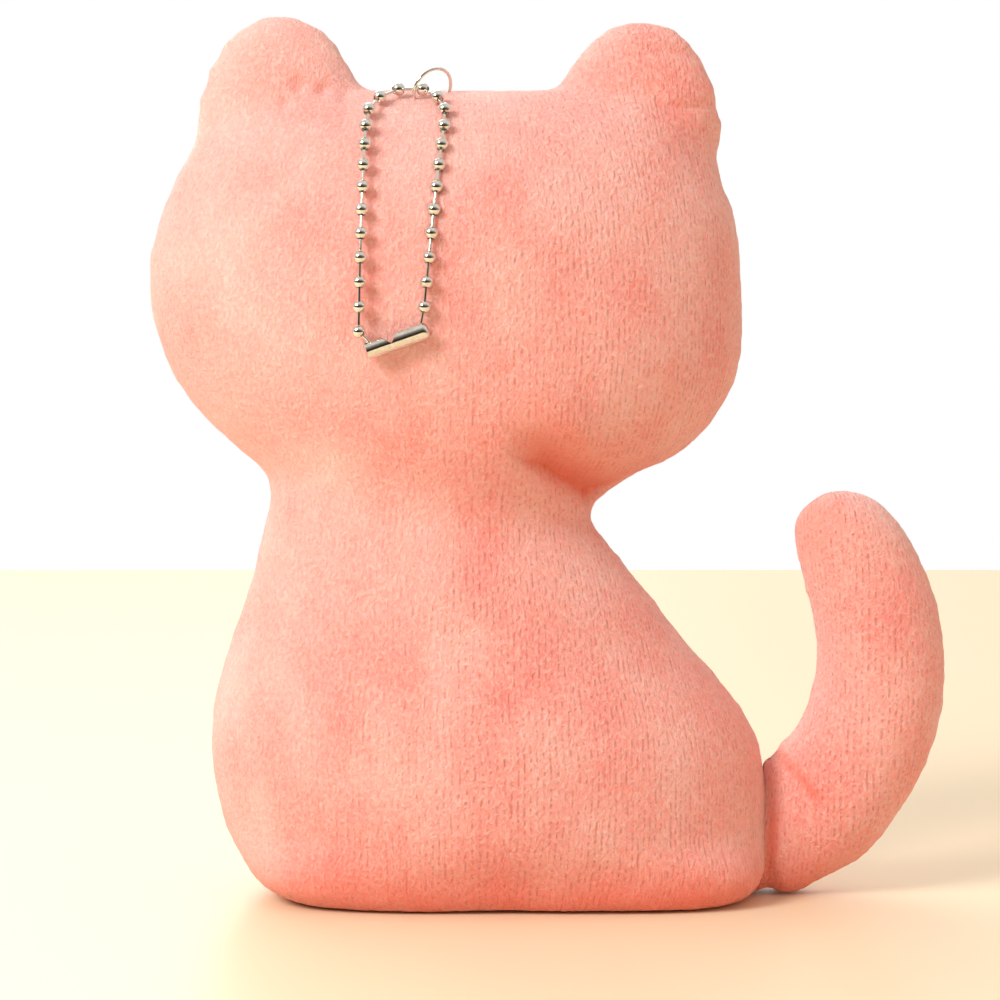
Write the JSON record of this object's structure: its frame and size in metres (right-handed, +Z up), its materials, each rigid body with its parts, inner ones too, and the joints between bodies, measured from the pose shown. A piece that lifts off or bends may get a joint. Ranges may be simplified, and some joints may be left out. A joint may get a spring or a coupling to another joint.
{
  "type": "plush keychain",
  "caption": "Sitting plush cat with a curled tail, flat base and embroidered face, with a jump ring in the crown and a looped ball chain with a snap connector.",
  "frame": {"origin": "centre of the flat oval base", "axes": "+Z up, +Y the way the cat's face looks, the chain lies on the -Y side, the tail is on the +X side"},
  "size_m": [0.1487, 0.0596, 0.1634],
  "materials": {
    "plush_fabric": "short pile velboa, brushed upwards",
    "base_fabric": "short pile velboa",
    "filling": "white polyester fibre filling",
    "sewing_thread": "matte polyester thread",
    "dark_embroidery": "satin stitch",
    "nose_embroidery": "satin stitch",
    "ring_wire": "polished nickel plate on steel wire",
    "chain_metal": "polished nickel plate on steel"
  },
  "bodies": {
    "plush": {"back_panel": "plush_fabric", "front_panel": "plush_fabric", "side_seam_stitching": "sewing_thread", "body_stuffing": "filling", "base_gusset": "base_fabric", "base_seam_stitching": "sewing_thread", "left_eye": "dark_embroidery", "right_eye": "dark_embroidery", "nose": "nose_embroidery", "mouth": "dark_embroidery", "anchor_stitch": "sewing_thread", "tail_root_stitching": "sewing_thread"},
    "tail": {"tail_back_panel": "plush_fabric", "tail_front_panel": "plush_fabric", "tail_stuffing": "filling", "tail_seam_stitching": "sewing_thread"},
    "ring": {"jump_ring": "ring_wire"},
    "chain_00": {"left_bead_00": "chain_metal", "right_bead_00": "chain_metal", "link_00": "chain_metal"},
    "chain_01": {"left_bead_01": "chain_metal", "right_bead_01": "chain_metal", "links_01": "chain_metal"},
    "chain_02": {"left_bead_02": "chain_metal", "right_bead_02": "chain_metal", "links_02": "chain_metal"},
    "chain_03": {"left_bead_03": "chain_metal", "right_bead_03": "chain_metal", "links_03": "chain_metal"},
    "chain_04": {"left_bead_04": "chain_metal", "right_bead_04": "chain_metal", "links_04": "chain_metal"},
    "chain_05": {"left_bead_05": "chain_metal", "right_bead_05": "chain_metal", "links_05": "chain_metal"},
    "chain_06": {"left_bead_06": "chain_metal", "right_bead_06": "chain_metal", "links_06": "chain_metal"},
    "chain_07": {"left_bead_07": "chain_metal", "right_bead_07": "chain_metal", "links_07": "chain_metal"},
    "chain_08": {"left_bead_08": "chain_metal", "right_bead_08": "chain_metal", "links_08": "chain_metal"},
    "chain_09": {"left_bead_09": "chain_metal", "right_bead_09": "chain_metal", "links_09": "chain_metal"},
    "chain_10": {"left_bead_10": "chain_metal", "right_bead_10": "chain_metal", "links_10": "chain_metal"},
    "chain_11": {"left_bead_11": "chain_metal", "right_bead_11": "chain_metal", "links_11": "chain_metal"},
    "chain_12": {"left_bead_12": "chain_metal", "links_12": "chain_metal", "link_13": "chain_metal", "left_held_bead": "chain_metal", "right_held_bead": "chain_metal"},
    "connector": {"connector": "chain_metal"}
  },
  "joints": [
    {"name": "tail_flex", "type": "hinge", "parent": "plush", "child": "tail", "pos_m": [0.0431, 0, 0.014], "axis": [0, 0, 1], "range_deg": [-12, 12], "stiffness_Nm_per_rad": 0.01},
    {"name": "ring_swing", "type": "hinge", "parent": "plush", "child": "ring", "pos_m": [-0.02017, -0.008, 0.1496], "axis": [-1, 0, 0], "range_deg": [0, 45]},
    {"name": "chain_swing", "type": "hinge", "parent": "ring", "child": "chain_00", "pos_m": [-0.0241, -0.0095, 0.14946], "axis": [-1, 0, 0], "range_deg": [0, 80]},
    {"name": "chain_bend_01", "type": "hinge", "parent": "chain_00", "child": "chain_01", "pos_m": [-0.0241, -0.00975, 0.14932], "axis": [-1, 0, 0], "range_deg": [0, 8]},
    {"name": "chain_bend_02", "type": "hinge", "parent": "chain_01", "child": "chain_02", "pos_m": [-0.02435, -0.01251, 0.14768], "axis": [-1, 0, 0], "range_deg": [0, 12]},
    {"name": "chain_bend_03", "type": "hinge", "parent": "chain_02", "child": "chain_03", "pos_m": [-0.0246, -0.01569, 0.14515], "axis": [-1, 0, 0], "range_deg": [0, 18]},
    {"name": "chain_bend_04", "type": "hinge", "parent": "chain_03", "child": "chain_04", "pos_m": [-0.02485, -0.01868, 0.14201], "axis": [-1, 0, 0], "range_deg": [0, 18]},
    {"name": "chain_bend_05", "type": "hinge", "parent": "chain_04", "child": "chain_05", "pos_m": [-0.0251, -0.02127, 0.13853], "axis": [-1, 0, 0], "range_deg": [0, 18]},
    {"name": "chain_bend_06", "type": "hinge", "parent": "chain_05", "child": "chain_06", "pos_m": [-0.02535, -0.02347, 0.13478], "axis": [-1, 0, 0], "range_deg": [0, 18]},
    {"name": "chain_bend_07", "type": "hinge", "parent": "chain_06", "child": "chain_07", "pos_m": [-0.0256, -0.0253, 0.13084], "axis": [-1, 0, 0], "range_deg": [0, 18]},
    {"name": "chain_bend_08", "type": "hinge", "parent": "chain_07", "child": "chain_08", "pos_m": [-0.02585, -0.02677, 0.12676], "axis": [-1, 0, 0], "range_deg": [0, 18]},
    {"name": "chain_bend_09", "type": "hinge", "parent": "chain_08", "child": "chain_09", "pos_m": [-0.0261, -0.02791, 0.12257], "axis": [-1, 0, 0], "range_deg": [0, 18]},
    {"name": "chain_bend_10", "type": "hinge", "parent": "chain_09", "child": "chain_10", "pos_m": [-0.02635, -0.02873, 0.1183], "axis": [-1, 0, 0], "range_deg": [0, 18]},
    {"name": "chain_bend_11", "type": "hinge", "parent": "chain_10", "child": "chain_11", "pos_m": [-0.0266, -0.02924, 0.11399], "axis": [-1, 0, 0], "range_deg": [0, 18]},
    {"name": "chain_bend_12", "type": "hinge", "parent": "chain_11", "child": "chain_12", "pos_m": [-0.02685, -0.02943, 0.10965], "axis": [-1, 0, 0], "range_deg": [0, 18]},
    {"name": "connector_roll", "type": "hinge", "parent": "chain_12", "child": "connector", "pos_m": [-0.02583, -0.02956, 0.10415], "axis": [0.9433, 0, 0.332], "range_deg": [-8, 8]}
  ]
}
